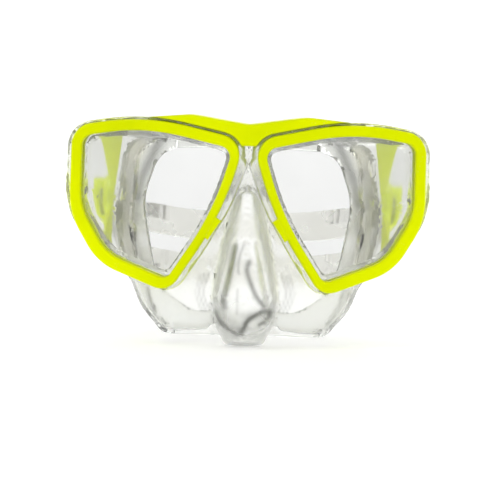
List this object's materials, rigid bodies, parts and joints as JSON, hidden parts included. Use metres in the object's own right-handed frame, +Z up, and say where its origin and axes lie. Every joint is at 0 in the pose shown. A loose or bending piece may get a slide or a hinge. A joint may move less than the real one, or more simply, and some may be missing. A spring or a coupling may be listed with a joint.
{
  "type": "snorkel mask",
  "caption": "Twin-lens snorkel mask with a clear silicone skirt, coloured lens rings and brow bar, swivelling strap buckles and a split rear strap.",
  "frame": {"origin": "centre of the face opening in the plane of the swivels' middle line, level with the middle of the wearer's eyes", "axes": "+Z up, -Y the way the wearer looks, +X towards the wearer's left"},
  "size_m": [0.173, 0.181, 0.1086],
  "materials": {
    "clear_silicone": "clear moulded silicone, polished outside and satin where it seals",
    "strap_silicone": "clear ribbed silicone",
    "tempered_glass": "flat tempered glass with ground edges",
    "ring_plastic": "moulded yellow-green plastic, satin gloss",
    "frame_plastic": "moulded yellow-green plastic, fine texture on its hidden faces",
    "grey_plastic": "moulded grey acetal",
    "steel": "stainless wire and strip"
  },
  "bodies": {
    "mask": {"skirt": "clear_silicone", "main_frame": "frame_plastic", "left_lens": "tempered_glass", "right_lens": "tempered_glass", "left_lens_ring": "ring_plastic", "right_lens_ring": "ring_plastic", "left_pivot_pin": "grey_plastic", "right_pivot_pin": "grey_plastic"},
    "strap_loop": {"strap": "strap_silicone", "left_tail_keeper": "strap_silicone", "right_tail_keeper": "strap_silicone"},
    "left_buckle": {"left_buckle_frame": "frame_plastic", "left_roller_pin": "steel", "left_lever_pin": "steel", "left_lever_spring": "steel"},
    "left_roller": {"left_strap_roller": "grey_plastic"},
    "left_lever": {"left_release_lever": "frame_plastic"},
    "right_buckle": {"right_buckle_frame": "frame_plastic", "right_roller_pin": "steel", "right_lever_pin": "steel", "right_lever_spring": "steel"},
    "right_roller": {"right_strap_roller": "grey_plastic"},
    "right_lever": {"right_release_lever": "frame_plastic"}
  },
  "joints": [
    {"name": "left_buckle_swivel", "type": "hinge", "parent": "mask", "child": "left_buckle", "pos_m": [0.0704, -0.014, 0.002], "axis": [1, 0, 0], "range_deg": [-30, 45]},
    {"name": "right_buckle_swivel", "type": "hinge", "parent": "mask", "child": "right_buckle", "pos_m": [-0.0704, -0.014, 0.002], "axis": [1, 0, 0], "range_deg": [-30, 45]},
    {"name": "strap_swing", "type": "hinge", "parent": "mask", "child": "strap_loop", "pos_m": [0, -0.014, 0.002], "axis": [1, 0, 0], "range_deg": [-30, 45]},
    {"name": "left_roller_spin", "type": "hinge", "parent": "left_buckle", "child": "left_roller", "pos_m": [0.0751, 0.00361, -0.00174], "axis": [0, 0.2079, 0.9781], "continuous": true},
    {"name": "left_lever_release", "type": "hinge", "parent": "left_buckle", "child": "left_lever", "pos_m": [0.07825, -0.00578, 0.00025], "axis": [0, -0.2079, -0.9781], "range_deg": [0, 30], "stiffness_Nm_per_rad": 0.01, "springref_deg": -8.59},
    {"name": "right_roller_spin", "type": "hinge", "parent": "right_buckle", "child": "right_roller", "pos_m": [-0.0751, 0.00361, -0.00174], "axis": [0, 0.2079, 0.9781], "continuous": true},
    {"name": "right_lever_release", "type": "hinge", "parent": "right_buckle", "child": "right_lever", "pos_m": [-0.07825, -0.00578, 0.00025], "axis": [0, 0.2079, 0.9781], "range_deg": [0, 30], "stiffness_Nm_per_rad": 0.01, "springref_deg": -8.59}
  ],
  "couplings": [
    {"joint": "right_buckle_swivel", "follows": "left_buckle_swivel", "ratio": 1},
    {"joint": "strap_swing", "follows": "left_buckle_swivel", "ratio": 1}
  ]
}
